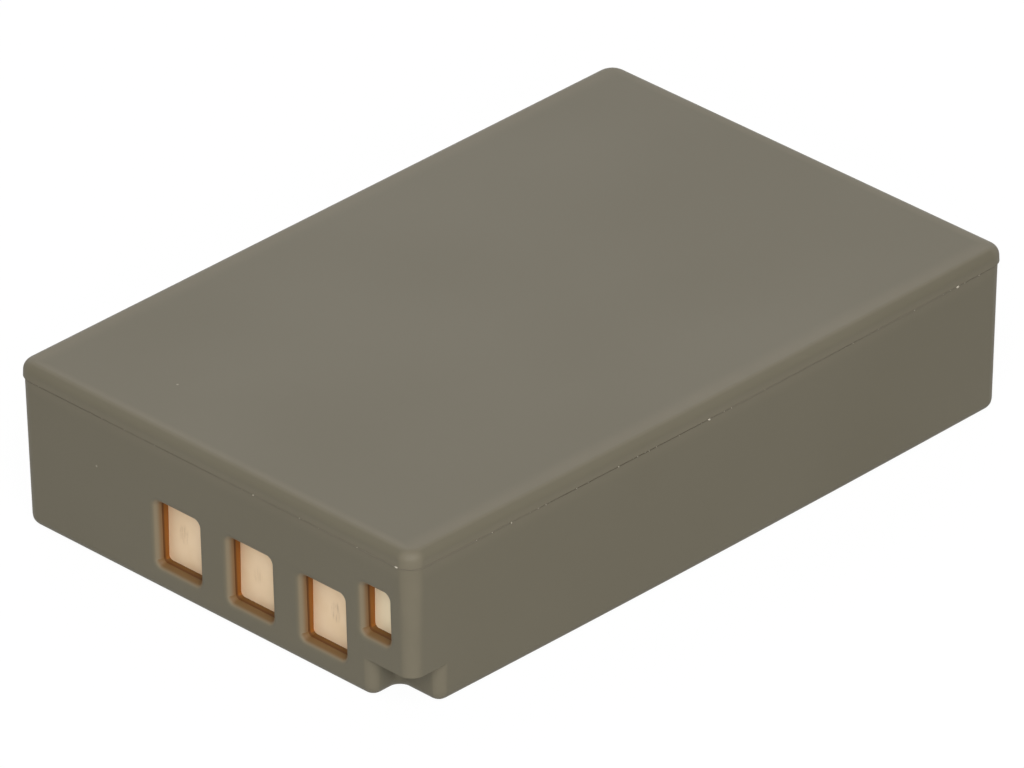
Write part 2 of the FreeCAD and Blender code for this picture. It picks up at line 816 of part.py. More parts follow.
def cell(name, bottom, middle):
    """A flat cell: a drawn can with its cap towards the board, and what the cap carries."""
    can = new_body(name + "_cell_can")
    outline = new_sketch(can, name + "_can_outline", "XZ_Plane", -cap_plane)
    sides = [cell_half_width, bottom + cell_thickness, -cell_half_width, bottom]
    add_outline(outline, "can", sides, cell_radius)
    form = pad(can, name + "_can", outline, cell_end - cap_plane, backwards=True)
    chamfer(can, name + "_can_chamfer", form, at_cell_end, size.cell_end_chamfer)
    seat = new_sketch(can, name + "_plug_seat_outline", "XZ_Plane", -cap_plane)
    circle = Part.Circle(FreeCAD.Vector(0, 0, 0), FreeCAD.Vector(0, 0, 1), size.plug_radius.number)
    ring = seat.addGeometry(circle)
    named_constraint(seat, "seat_radius", size.plug_radius, "Radius", ring)
    named_constraint(seat, "seat_x", size.plug_from_middle, "DistanceX", -1, 1, ring, 3)
    named_constraint(seat, "seat_z", middle, "DistanceY", -1, 1, ring, 3)
    pocket(can, name + "_plug_seat", seat, size.plug_thickness)

    plug = document.addObject("Part::Cylinder", name + "_cell_plug")
    plug.Label = name + "_cell_plug"
    plug.Placement = FreeCAD.Placement(FreeCAD.Vector(), FreeCAD.Rotation(FreeCAD.Vector(1, 0, 0), -90))
    bind(plug, "Radius", size.plug_radius)
    bind(plug, "Height", size.plug_thickness)
    bind(plug, "Placement.Base.x", size.plug_from_middle)
    bind(plug, "Placement.Base.y", cap_plane)
    bind(plug, "Placement.Base.z", middle)

    gasket_face = cap_plane - size.gasket_thickness
    half_x = size.gasket_width / 2
    half_z = size.gasket_height / 2
    across = (-half_x, half_x, gasket_face, cap_plane)
    gasket = box(name + "_cell_gasket", *across, middle - half_z, middle + half_z)
    half_x = size.terminal_width / 2
    half_z = size.terminal_height / 2
    across = (-half_x, half_x, terminal_face, gasket_face)
    terminal = box(name + "_cell_terminal", *across, middle - half_z, middle + half_z)
    return [can, gasket, terminal, plug]


pieces.extend(cell("lower", lower_cell_bottom, lower_middle))
pieces.extend(cell("upper", upper_cell_bottom, upper_middle))


def cap_card(name, middle, left, right):
    """An insulating card on a cell's cap, with an opening round the terminal."""
    body = new_body(name + "_cell_insulator")
    sketch = new_sketch(body, name + "_card_outline", "XZ_Plane", -cap_plane + size.card_thickness)
    reach = cell_thickness / 2 - size.card_margin
    radius = size.card_corner_radius
    add_outline(sketch, "card", [right, middle + reach, left, middle - reach], radius)
    room_x = size.gasket_width / 2 + size.card_clearance
    room_z = size.gasket_height / 2 + size.card_clearance
    add_outline(sketch, "opening", [room_x, middle + room_z, -room_x, middle - room_z], radius)
    pad(body, name + "_card", sketch, size.card_thickness, backwards=True)
    return body


pieces.append(cap_card("lower", lower_middle, -card_end, link_left - size.card_clearance))
pieces.append(cap_card("upper", upper_middle, fuse_left, card_end))

# Pads and tapes


def flat_pad(label, z_from, z_to):
    """A pad between the broad faces of the cells or between a cell and the case."""
    x = cell_half_width - size.pad_margin
    return box(label, -x, x, cap_plane + size.pad_margin, cell_end - size.pad_margin, z_from, z_to)


pieces.append(flat_pad("base_pad", size.case_floor, lower_cell_bottom))
pieces.append(flat_pad("cell_tape", lower_cell_top, upper_cell_bottom))
pieces.append(flat_pad("cover_pad", upper_cell_top, upper_cell_top + size.cover_pad_thickness))
foam_low = lower_cell_bottom + size.card_margin
foam_top = seam - size.lip_depth - size.card_margin
foam_back = cell_end + size.end_foam_thickness
pieces.append(box("end_foam", -card_end, card_end, cell_end, foam_back, foam_low, foam_top))

# Nickel strips and the fuse

strip_front = terminal_face - strip
board_foot = board_back + strip
bend = strip * size.strip_bend_share
tab_low = lower_middle - half_tab
tab_high = upper_middle - half_tab


def bent_tab(body, name, low, sides):
    """A strip bent flat-wise: its bent edge, seen from above, raised by the tab's width."""
    sketch = new_sketch(body, name + "_outline", "XY_Plane", low)
    add_outline(sketch, "edge", sides, bend)
    pad(body, name, sketch, size.tab_width)


def series_link():
    """From the upper cell's terminal, down, and back onto the lower cell's cap."""
    body = new_body("series_link")
    right = link_left + size.strip_width
    low = lower_middle - size.foot_length / 2
    top = lower_middle + size.foot_length / 2
    arm_top = upper_middle + half_tab
    inside = [cap_plane - strip, low + strip, terminal_face, arm_top]
    drop = new_sketch(body, "link_drop_outline", "YZ_Plane", link_left)
    add_outline(drop, "drop", [cap_plane, top] + inside + [strip_front, low], bend)
    pad(body, "link_drop", drop, size.strip_width)
    arm = new_sketch(body, "link_arm_outline", "XZ_Plane", -terminal_face)
    add_rectangle(arm, "arm", [right, arm_top, -size.terminal_width / 2, tab_high])
    pad(body, "link_arm", arm, strip)
    return body


def negative_tab():
    """From the lower cell's terminal along the cap and out to the board."""
    body = new_body("negative_tab")
    left = -card_end
    foot = [left + size.foot_length, board_foot, left + strip, strip_front]
    run = [size.terminal_width / 2, terminal_face, left, board_back]
    bent_tab(body, "negative_strip", tab_low, foot + run)
    return body


def midpoint_tab():
    """From the front of the series link to the board, so that the chip can watch each cell."""
    body = new_body("midpoint_tab")
    right = midpoint_foot + size.foot_length
    foot = [right, board_foot, midpoint_foot + strip, strip_front - strip]
    weld = [right, strip_front, midpoint_foot, board_back]
    bent_tab(body, "midpoint_strip", tab_high, foot + weld)
    return body


card_face = cap_plane - size.card_thickness
fuse_front = card_face - size.fuse_thickness


def thermal_fuse():
    """A flat resettable fuse that lies on the upper card, with its own lead to the board."""
    body = new_body("thermal_fuse")
    half = size.fuse_width / 2
    core = new_sketch(body, "fuse_core_outline", "XZ_Plane", -card_face)
    sides = [fuse_right, upper_middle + half, fuse_left, upper_middle - half]
    add_outline(core, "core", sides, size.fuse_corner_radius)
    pad(body, "fuse_core", core, size.fuse_thickness)
    left = fuse_right - size.foot_length
    on_core = [fuse_right, fuse_front, left, fuse_front - strip]
    foot = [fuse_right - strip, board_foot, left, board_back]
    bent_tab(body, "fuse_lead", tab_high, on_core + foot)
    return body


def positive_tab():
    """From the upper cell's cap round onto the front of the fuse."""
    body = new_body("positive_tab")
    left = size.cap_weld_inset - cell_half_width
    right = fuse_left - size.card_clearance / 2
    over = [fuse_left + size.foot_length, fuse_front, right, cap_plane]
    foot = [left, cap_plane - strip, right - strip, fuse_front - strip]
    bent_tab(body, "positive_strip", tab_high, over + foot)
    return body


pieces.extend([series_link(), negative_tab(), midpoint_tab(), thermal_fuse(), positive_tab()])

# Checks and files

document.recompute()
for thing in document.Objects:
    if "Invalid" in thing.State or "Error" in thing.State:
        raise RuntimeError(thing.Label + " did not build")
for piece in pieces:
    if piece.Shape.isNull() or not piece.Shape.isValid():
        raise RuntimeError(piece.Label + " has no valid shape")
os.makedirs("parts", exist_ok=True)
for piece in pieces:
    shape = piece.Shape
    solids = len(shape.Solids)
    print(piece.Label, solids, "solid", round(shape.Volume, 2), "cubic mm", len(shape.Faces), "faces")
    shape.exportStep("parts/" + piece.Label + ".step")
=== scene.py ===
# %% [markdown]
# # Dressing a camera battery
# A camera battery is a small sealed box. Two flat cells and a protection board lie in a moulded tub, a shallow
# cover is welded over them, and four gold contacts look out of windows in one end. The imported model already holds
# every piece at its real size, so this lesson never moves one. It gives each piece the finish that its maker gave
# it, inside as well as outside, and adds what a welded seam leaves behind.

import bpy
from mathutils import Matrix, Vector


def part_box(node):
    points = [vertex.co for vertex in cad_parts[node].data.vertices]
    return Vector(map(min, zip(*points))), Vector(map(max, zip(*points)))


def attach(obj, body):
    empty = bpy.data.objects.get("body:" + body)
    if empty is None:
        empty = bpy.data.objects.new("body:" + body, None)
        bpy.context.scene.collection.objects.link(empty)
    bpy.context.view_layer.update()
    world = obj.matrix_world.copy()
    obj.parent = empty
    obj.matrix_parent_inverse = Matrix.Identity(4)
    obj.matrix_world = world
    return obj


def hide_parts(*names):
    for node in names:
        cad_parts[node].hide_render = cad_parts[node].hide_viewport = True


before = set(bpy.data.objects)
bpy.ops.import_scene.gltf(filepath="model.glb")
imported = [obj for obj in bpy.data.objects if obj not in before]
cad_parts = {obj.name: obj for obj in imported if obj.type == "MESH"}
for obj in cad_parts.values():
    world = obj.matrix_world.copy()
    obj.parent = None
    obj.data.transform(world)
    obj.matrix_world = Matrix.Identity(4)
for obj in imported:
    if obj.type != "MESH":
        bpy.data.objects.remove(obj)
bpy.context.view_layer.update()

# %% The modules of the lesson
import functools
import math

import bmesh
import bpy
from mathutils import Matrix, Vector

MM = 0.001
scene = bpy.context.scene
scene.view_settings.view_transform = "Standard"
print("colours are shown by the view transform", scene.view_settings.view_transform)

# %% [markdown]
# ## The places that everything lines up with
# The sizes are read from the imported model, because a number that is typed twice will differ one day. The lower case
# ends at the seam, so the top of its box is the height of the weld. The contacts' own boxes give the windows' places.

# %% Read the places from the frame
case_low, case_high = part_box("lower_case")
cover_low, cover_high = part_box("upper_cover")
seam_height = case_high.z
end_face = case_low.y
contact_names = ["contact_positive", "contact_temperature", "contact_negative", "contact_data"]
contact_boxes = {name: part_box(name) for name in contact_names}
contact_plane = contact_boxes["contact_positive"][0].y
print("seam at", round(seam_height / MM, 2), "mm, contacts", round((contact_plane - end_face) / MM, 2), "mm deep")

# %% [markdown]
# ## The camera
# A product photograph is taken from far away with a long lens, which keeps parallel edges nearly parallel. The
# camera stands where the edges of the pack meet the photograph: a little over 30 degrees above the table and
# facing the near corner. Its lens follows from how much the picture's width takes in at that distance.

# %% Make the camera
camera_azimuth = math.radians(44.68)
camera_elevation = math.radians(30.265)
camera_roll = math.radians(-0.399)
camera_distance = 926.1 * MM
aim_right = -0.216 * MM
aim_up = 5.231 * MM
picture_width = 66.511 * MM

to_camera = Vector((
    math.sin(camera_azimuth) * math.cos(camera_elevation),
    -math.cos(camera_azimuth) * math.cos(camera_elevation),
    math.sin(camera_elevation),
))
level_right = Vector((0, 0, 1)).cross(to_camera).normalized()
level_up = to_camera.cross(level_right)
picture_right = level_right * math.cos(camera_roll) + level_up * math.sin(camera_roll)
picture_up = level_up * math.cos(camera_roll) - level_right * math.sin(camera_roll)

camera_data = bpy.data.cameras.new("camera")
camera_data.sensor_width = 36
camera_data.lens = camera_data.sensor_width * camera_distance / picture_width
camera_data.clip_start = 10 * MM
camera_data.clip_end = 100
camera = bpy.data.objects.new("camera", camera_data)
camera.matrix_world = Matrix((
    (picture_right.x, picture_up.x, to_camera.x, 0),
    (picture_right.y, picture_up.y, to_camera.y, 0),
    (picture_right.z, picture_up.z, to_camera.z, 0),
    (0, 0, 0, 1),
))
camera.location = picture_right * aim_right + picture_up * aim_up + to_camera * camera_distance
scene.collection.objects.link(camera)
scene.camera = camera
print("lens", round(camera_data.lens), "mm at", round(camera_distance / MM), "mm")

# %% [markdown]
# ## Node trees in plain Python
# A finish is a small calculation that runs at every point of the surface. Drawn by hand it is a web of Math nodes.
# Here a socket is wrapped in a class whose operators make those nodes, so the calculation reads as a formula. The
# same two classes build the light's tree, each material's and the Geometry Nodes. Colours go through Mix nodes,
# because a Math node would turn a colour grey.

# %% A socket that does sums
class Wire:
    """One output of a node, which Python's operators can work on."""

    def __init__(self, tree, socket):
        self.tree = tree
        self.socket = socket

    def sum(self, operation, first, second=0.0):
        sockets = {"Value": first, "Value_001": second}
        return self.tree.node("ShaderNodeMath", {"operation": operation}, sockets)["Value"]

    def __add__(self, other):
        return self.sum("ADD", self, other)

    def __radd__(self, other):
        return self.sum("ADD", other, self)

    def __sub__(self, other):
        return self.sum("SUBTRACT", self, other)

    def __rsub__(self, other):
        return self.sum("SUBTRACT", other, self)

    def __mul__(self, other):
        return self.sum("MULTIPLY", self, other)

    def __rmul__(self, other):
        return self.sum("MULTIPLY", other, self)

    def __truediv__(self, other):
        return self.sum("DIVIDE", self, other)

    def __pow__(self, other):
        return self.sum("POWER", self, other)

    def __gt__(self, other):
        return self.sum("GREATER_THAN", self, other)

    def __lt__(self, other):
        return self.sum("LESS_THAN", self, other)

    def __mod__(self, other):
        return self.sum("FLOORED_MODULO", self, other)

    def __abs__(self):
        return self.sum("ABSOLUTE", self)

    def larger(self, other):
        return self.sum("MAXIMUM", self, other)

    def smaller(self, other):
        return self.sum("MINIMUM", self, other)

    def rises(self, start, end):
        """0 before start and 1 after end, with a soft step between them."""
        settings = {"interpolation_type": "SMOOTHSTEP"}
        sockets = {"Value": self, "From Min": start, "From Max": end}
        return self.tree.node("ShaderNodeMapRange", settings, sockets)["Result"]

    def within(self, low, high):
        """1 between two values and 0 outside them."""
        return (self > low) * (self < high)


def largest(wires):
    """The largest of several wires at each point."""
    return functools.reduce(Wire.larger, wires)


# %% A tree that is built in sentences
class Tree:
    """Nodes under construction. One method adds any node, whatever the tree is for."""

    def __init__(self, tree):
        self.tree = tree

    def socket(self, sockets, key):
        """The socket with that identifier, or else the one with that name."""
        for found in sockets:
            if found.identifier == key:
                return found
        return sockets[key]

    def set(self, made, values):
        """Links each wire to its socket, and writes each plain value on it."""
        for key, value in values.items():
            into = self.socket(made.inputs, key)
            if isinstance(value, Wire):
                self.tree.links.new(value.socket, into)
            else:
                into.default_value = value

    def node(self, kind, settings=None, sockets=None):
        """Adds a node, with its settings first, and returns its outputs as wires by identifier."""
        made = self.tree.nodes.new(kind)
        for key, value in (settings or {}).items():
            setattr(made, key, value)
        self.set(made, sockets or {})
        return {found.identifier: Wire(self, found) for found in made.outputs}

    def axes(self, place):
        """The three coordinates of a place, one wire each."""
        parts = self.node("ShaderNodeSeparateXYZ", sockets={"Vector": place})
        return parts["X"], parts["Y"], parts["Z"]

    def seen(self):
        """1 for what the camera sees, also in metal and through glass, and 0 for the light's own bounces."""
        rays = self.node("ShaderNodeLightPath")
        return rays["Is Camera Ray"].larger(rays["Is Glossy Ray"]).larger(rays["Is Transmission Ray"])

    def noise(self, place, size, detail=2.0, roughness=0.5):
        """Soft random values from 0 to 1, in patches of about that size in metres."""
        sockets = {"Vector": place, "Scale": 1 / size, "Detail": detail, "Roughness": roughness}
        return self.node("ShaderNodeTexNoise", sockets=sockets)["Fac"]


# %% A material is one such tree
class Finish(Tree):
    """A material under construction, with helpers that name its common nodes."""

    def __init__(self, name, **constants):
        self.material = bpy.data.materials.new(name)
        self.material.use_nodes = True
        super().__init__(self.material.node_tree)
        self.shader = self.tree.nodes["Principled BSDF"]
        self.wear(**constants)

    def place(self):
        """The point's place on the object, in metres."""
        return self.node("ShaderNodeTexCoord")["Object"]

    def facing(self):
        """The direction that the surface faces, one number for each axis."""
        return self.axes(self.node("ShaderNodeNewGeometry")["True Normal"])

    def stretched(self, place, x, y, z):
        """The place, scaled along each axis, for grain that runs one way."""
        sockets = {"Vector": place, "Scale": (x, y, z)}
        return self.node("ShaderNodeMapping", sockets=sockets)["Vector"]

    def cells(self, place, size):
        """Random cells of about that size: the distance from a cell's middle, and a random number for the cell."""
        found = self.node("ShaderNodeTexVoronoi", sockets={"Vector": place, "Scale": 1 / size})
        return found["Distance"], self.node("ShaderNodeSeparateColor", sockets={"Color": found["Color"]})["Red"]

    def mix(self, share, first, second):
        """A colour between two colours."""
        sockets = {"Factor_Float": share, "A_Color": first, "B_Color": second}
        return self.node("ShaderNodeMix", {"data_type": "RGBA"}, sockets)["Result_Color"]

    def relief(self, height, depth):
        """A normal from heights between 0 and 1 that stand for that depth in metres."""
        sockets = {"Height": height, "Distance": depth}
        return self.node("ShaderNodeBump", sockets=sockets)["Normal"]

    def wear(self, **sockets):
        """Feeds the shader, such as Base_Color or Roughness, and returns the material."""
        self.set(self.shader, {key.replace("_", " "): value for key, value in sockets.items()})
        return self.material


# %% Small helpers for colours and pieces
def tone(red, green, blue):
    """A colour as a shader takes it, from the 0 to 255 values that a paint chart or a photograph gives."""
    linear = [((v / 255 + 0.055) / 1.055) ** 2.4 if v > 10 else v / 255 / 12.92 for v in (red, green, blue)]
    return (*linear, 1.0)


def dress(material, *nodes):
    """Gives pieces of the imported model their finish. Only the material slot changes."""
    for node in nodes:
        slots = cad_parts[node].data.materials
        slots.clear()
        slots.append(material)
    print(material.name, "on", ", ".join(nodes))


print("a grey of 128 reflects", round(tone(128, 128, 128)[0], 3), "of the light")

# %% [markdown]
# ## Floor, background and light
# The pack was photographed on white. The white belongs to the floor and the world as they look to the camera, and
# never to stronger lamps, which would bleach the plastic. The floor still takes a little shadow, so that the pack
# stands on it. The small share that shows the shadow is lit less than white, and the glow makes up for it.

# %% Lay the floor
floor_size = 12.0
drop = -0.01 * MM
floor_bounce = tone(176, 176, 174)
floor_white = tone(250, 250, 249)
white_light = (1, 1, 1, 1)
shadow_share = 0.05
floor_glow = 1.02


def make_floor():
    finish = Finish("white_floor", Roughness=0.9)
    seen = finish.seen()
    side = finish.node("ShaderNodeNewGeometry")
    finish.wear(Base_Color=finish.mix(seen, floor_bounce, floor_white))
    glow = finish.node("ShaderNodeEmission", sockets={"Color": white_light, "Strength": floor_glow})["Emission"]
    plain = finish.node("ShaderNodeMixShader", sockets={
        "Fac": seen * (1 - shadow_share),
        "Shader": Wire(finish, finish.shader.outputs["BSDF"]),
        "Shader_001": glow,
    })["Shader"]
    clear = finish.node("ShaderNodeBsdfTransparent")["BSDF"]
    surface = finish.node("ShaderNodeMixShader", sockets={
        "Fac": side["Backfacing"],
        "Shader": plain,
        "Shader_001": clear,
    })["Shader"]
    finish.set(finish.tree.nodes["Material Output"], {"Surface": surface})
    mesh = bpy.data.meshes.new("floor")
    half = floor_size / 2
    corners = [(-half, -half, drop), (half, -half, drop), (half, half, drop), (-half, half, drop)]
    mesh.from_pydata(corners, [], [(0, 1, 2, 3)])
    mesh.materials.append(finish.material)
    floor = bpy.data.objects.new("floor", mesh)
    scene.collection.objects.link(floor)


make_floor()
print("floor laid,", floor_size, "m wide")

# %% Fill the room with soft light
room_level = 0.19


def make_world():
    world = bpy.data.worlds.new("room")
    world.use_nodes = True
    room = Tree(world.node_tree)
    ambient = room.node("ShaderNodeBackground", sockets={"Color": white_light, "Strength": room_level})
    white = room.node("ShaderNodeBackground", sockets={"Color": white_light, "Strength": 1.0})
    sockets = {"Fac": room.seen(), "Shader": ambient["Background"], "Shader_001": white["Background"]}
    surface = room.node("ShaderNodeMixShader", sockets=sockets)["Shader"]
    room.set(room.tree.nodes["World Output"], {"Surface": surface})
    scene.world = world


make_world()
print("the room gives light at level", room_level)

# %% [markdown]
# ## The lamps
# Every rounded edge of the pack is paler than the two faces beside it, so most of the light came from the
# camera's side and from a little above it. One large soft box stands there, a second one lower down fills the
# sides, and a third behind the pack keeps its far side readable.

# %% Hang the lamps
lamp_distance = 0.6


def hang_lamp(name, azimuth, elevation, size, level):
    """A square soft box that looks at the pack. At level 1 it alone shows a facing colour about as written."""
    turn = math.radians(azimuth)
    rise = math.radians(elevation)
    back = Vector((math.sin(turn) * math.cos(rise), -math.cos(turn) * math.cos(rise), math.sin(rise)))
    light = bpy.data.lights.new(name, "AREA")
    light.size = size
    light.energy = level * math.pi ** 2 * lamp_distance ** 2
    lamp = bpy.data.objects.new(name, light)
    lamp.matrix_world = Matrix.Translation(back * lamp_distance) @ (-back).to_track_quat("-Z", "Y").to_matrix().to_4x4()
    scene.collection.objects.link(lamp)
    print(name, "at level", level)


hang_lamp("lamp_front", 48, 43, 0.45, 0.65)
hang_lamp("lamp_low", 47, 16, 0.4, 0.30)
hang_lamp("lamp_back", 225, 25, 0.8, 0.48)

# %% [markdown]
# ## The moulded plastic
# Case and cover are moulded from the same taupe plastic with a fine matt texture that the mould gives them. The
# colour is nearly even: it drifts a little over centimetres, and a few pale specks of dust sit on it. Its corners and
# edges carry a painted highlight, mixed paler where they catch the light. Painted on by hand these marks would need a
# picture. A mask for each of them, worked out from the place on the pack, needs none and stays sharp from near by.

# %% Paint highlights on corners, the cover's edge, below the seam and on the notch
case_half_x = -case_low.x
case_half_y = -case_low.y
cover_half_x = -cover_low.x
cover_half_y = -cover_low.y
# Painted highlight: these sizes place the paler bands that stand in for light on the rounded edges.
corner_starts = 1.30 * MM
corner_full = 0.80 * MM
ridge_starts_side = 2.0 * MM
ridge_starts_end = 1.3 * MM
ridge_full = 0.8 * MM
ridge_below_top = (0.12 * MM, 0.02 * MM)
round_below_top = (0.9 * MM, 0.5 * MM)
highlight_below_seam = (1.2 * MM, 0.2 * MM)
highlight_strength = 0.6
upright_middle_x = 13.7 * MM
upright_middle_y = -24.45 * MM
upright_width = (0.25 * MM, 0.50 * MM)
upright_front_y = -26.55 * MM
upright_front_x = 17.0 * MM
notch_height = 2.9 * MM


def painted_highlight_places(x, y, z):
    """1 where a highlight is painted paler: corners, the cover's edge, below the seam, the notch's two uprights."""
    across = abs(x).rises(case_half_x - corner_starts, case_half_x - corner_full)
    along = abs(y).rises(case_half_y - corner_starts, case_half_y - corner_full)
    near_side = abs(x).rises(cover_half_x - ridge_starts_side, cover_half_x - ridge_full)
    near_end = abs(y).rises(cover_half_y - ridge_starts_end, cover_half_y - ridge_full)
    ridge = near_side.larger(near_end) * z.rises(*(cover_high.z - below for below in ridge_below_top))
    below_round = 1 - z.rises(*(cover_high.z - below for below in round_below_top))
    seam_highlight = z.rises(*(seam_height - below for below in highlight_below_seam)) * below_round
    by_end = (1 - abs(x - upright_middle_x).rises(*upright_width)) * (y < upright_front_y)
    by_side = (1 - abs(y - upright_middle_y).rises(*upright_width)) * (x > upright_front_x)
    uprights = by_end.larger(by_side) * (z < notch_height)
    return largest([across * along, ridge, seam_highlight * highlight_strength, uprights])


# The cover's edge carries a painted highlight over this width.
print("the cover's edge is chafed over", round((ridge_starts_side - ridge_full) / MM, 1), "mm along the sides")

# %% [markdown]
# ## The windows' rims
# Round each window the mould left a soft lead. Its front is painted paler as a highlight, and further in it is
# painted darker as shade, more on the sill. Deeper in, the walls see almost nothing but gold, and look brown. The
# light alone would not show it as clearly as the photograph does, so a brown reflection of the gold is painted on
# the walls, darker on the sills as painted shade, and a dark line marks where it begins. The colour changes with the
# depth below the end face. That face leans with the mould's draft, so the depth is measured from the lean.

# %% Paint light and shade on a window's rim by its depth
# Painted light and shade: a highlight on the lead, shade further in and on the sill, a brown reflection of the gold.
lead_highlight = tone(134, 121, 98)
lead_shade = tone(128, 99, 68)
sill_shade = tone(115, 87, 53)
wall_line = tone(92, 56, 22)
wall_reflection = tone(136, 82, 24)
sill_shaded_reflection = tone(106, 70, 27)
lead_depth = (0.02 * MM, 0.15 * MM)
tint_depth = (0.18 * MM, 0.50 * MM)
sill_depth = (0.08 * MM, 0.26 * MM)
line_depth = 0.57 * MM
wall_depth = (0.68 * MM, 0.82 * MM)
lead_sill_lean = 0.15
wall_sill_lean = 0.7
case_lean = math.tan(math.radians(1.5))
window_reach_x = 16.2 * MM
window_reach_z = (1.2 * MM, 9 * MM)


def painted_window_rim(finish, colour, x, y, z):
    """The rim of a window by its depth: a painted highlight outside, then painted shade, then a dark line and a painted
    brown reflection of the gold on the wall.
    """
    narrow_low = contact_boxes["contact_data"][0]
    clear_of_notch = (x < narrow_low.x - 0.5 * MM).larger(z > narrow_low.z - 0.3 * MM)
    by_window = clear_of_notch * (abs(x) < window_reach_x) * z.within(*window_reach_z)
    by_window = by_window * (y < contact_plane + 0.05 * MM)
    depth = y - end_face - (seam_height - z) * case_lean
    toward_x, toward_y, toward_z = finish.facing()
    # Each mix paints by depth: the lead's highlight, its shade, the sill's shade, the dark line, the gold's reflection.
    colour = finish.mix(by_window * depth.rises(*lead_depth), colour, lead_highlight)
    colour = finish.mix(by_window * depth.rises(*tint_depth), colour, lead_shade)
    colour = finish.mix(by_window * depth.rises(*sill_depth) * (toward_z > lead_sill_lean), colour, sill_shade)
    colour = finish.mix(by_window * (depth > line_depth), colour, wall_line)
    wall = finish.mix(toward_z > wall_sill_lean, wall_reflection, sill_shaded_reflection)
    return finish.mix(by_window * depth.rises(*wall_depth), colour, wall)


print("a window's brown wall starts", round(wall_depth[0] / MM, 2), "mm deep")

# %% [markdown]
# ## The plastic as one material
# Case and cover came from one batch, so one material serves both and the drift runs on across the seam. The groove
# under the cover's edge is painted dark as shade, less on the right half of the end face, where the weld has nearly
# filled it.

# %% Mix the plastic
plastic_colour = tone(113, 107, 90)
plastic_drift = tone(110, 104, 87)
# The paler tone of the painted highlight on corners and edges.
painted_highlight_colour = tone(136, 127, 108)
# The tone of the painted shade in the groove under the cover's edge.
groove_shade_colour = tone(66, 58, 45)
speck_colour = tone(190, 184, 168)
drift_size = 18 * MM
flow_size = 2.2 * MM
grain_size = 0.11 * MM
grain_depth = 0.006 * MM
groove_height = (seam_height - 0.115 * MM, seam_height + 0.004 * MM)
filled_from = (-12 * MM, -2 * MM)
dust_spacing = 5.5 * MM
dust_radius = (0.05 * MM, 0.10 * MM)
dust_places = [(-8.09, -22.47, 12.2), (-10.67, -27.3, 7.15)]


def moulded_plastic():
    finish = Finish("moulded_plastic", Specular_IOR_Level=0.30)
    place = finish.place()
    x, y, z = finish.axes(place)
    drift = finish.noise(place, drift_size, detail=1.0)
    flow = finish.noise(place, flow_size, detail=2.0)
    grain = finish.noise(place, grain_size, detail=3.0, roughness=0.6)
    colour = finish.mix(drift.rises(0.3, 0.7) * 0.7 + flow * 0.3, plastic_colour, plastic_drift)
    # Painted highlight: corners, edges, below the seam and the uprights are mixed paler.
    colour = finish.mix(painted_highlight_places(x, y, z) * (0.12 + flow * 0.3), colour, painted_highlight_colour)
    # Painted shade: the groove under the cover's edge is mixed darker, less where the weld fills it.
    rim = (abs(x) > case_half_x - 0.2 * MM).larger(abs(y) > case_half_y - 0.2 * MM)
    filled = x.rises(*filled_from) * (y < end_face + 0.4 * MM)
    shade_in_groove = rim * z.within(*groove_height) * (0.8 - filled * 0.45)
    colour = finish.mix(shade_in_groove, colour, groove_shade_colour)
    middle, chance = finish.cells(place, dust_spacing)
    dust = [(1 - middle.rises(0.010, 0.022)) * (chance < 0.10)]
    for spot_x, spot_y, spot_z in dust_places:
        far = ((x - spot_x * MM) ** 2 + (y - spot_y * MM) ** 2 + (z - spot_z * MM) ** 2) ** 0.5
        dust.append(1 - far.rises(*dust_radius))
    colour = finish.mix(largest(dust) * 0.5, colour, speck_colour)
    return finish.wear(
        Base_Color=painted_window_rim(finish, colour, x, y, z),
        Roughness=0.48 + drift * 0.08 + grain * 0.06,
        Normal=finish.relief(grain, grain_depth),
    )


plastic = moulded_plastic()
print("the plastic has", len(plastic.node_tree.nodes), "nodes")

# %% [markdown]
# ## The case and the cover
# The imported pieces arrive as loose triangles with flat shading, which shows every facet of a rounded edge. A shell
# is a copy with its corners merged and its flat faces made whole. Each corner then takes its normal from the
# larger face beside it, so flats stay flat and rounds turn smoothly, as on a good mould.

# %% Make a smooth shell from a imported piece
merge_reach = 0.0005 * MM
flat_angle = math.radians(0.01)
sharp_angle = math.radians(32)


def settled(piece):
    """Turns a piece with modifiers into a plain mesh."""
    piece.data = bpy.data.meshes.new_from_object(piece.evaluated_get(bpy.context.evaluated_depsgraph_get()))
    piece.modifiers.clear()
    return piece


def clean_shell(node, name, material):
    """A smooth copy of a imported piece, which takes its place."""
    shape = bmesh.new()
    shape.from_mesh(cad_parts[node].data)
    bmesh.ops.remove_doubles(shape, verts=shape.verts, dist=merge_reach)
    bmesh.ops.dissolve_limit(shape, angle_limit=flat_angle, verts=shape.verts, edges=shape.edges)
    mesh = bpy.data.meshes.new(name)
    shape.to_mesh(mesh)
    shape.free()
    if "custom_normal" in mesh.attributes:
        mesh.attributes.remove(mesh.attributes["custom_normal"])
    mesh.shade_smooth()
    mesh.set_sharp_from_angle(angle=sharp_angle)
    mesh.materials.clear()
    mesh.materials.append(material)
    shell = bpy.data.objects.new(name, mesh)
    scene.collection.objects.link(shell)
    weigh = shell.modifiers.new("weigh", "WEIGHTED_NORMAL")
    weigh.keep_sharp = True
    settled(shell)
    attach(shell, "root")
    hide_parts(node)
    print(name, "has", len(shell.data.polygons), "faces")
    return shell


case_shell = clean_shell("lower_case", "case_shell", plastic)
cover_shell = clean_shell("upper_cover", "cover_shell", plastic)

# %% [markdown]
# ## Gold contacts
# The contacts are stamped from copper alloy and plated with nickel and a little gold. The plating is satin, with
# the faint lines of the rolled sheet. The pins of a charger press on the middle of a window, and each time they
# leave a short scratch and a dull spot there. The narrow window lets in less light than it seems to in the
# photograph, so the plate behind it is a little paler.

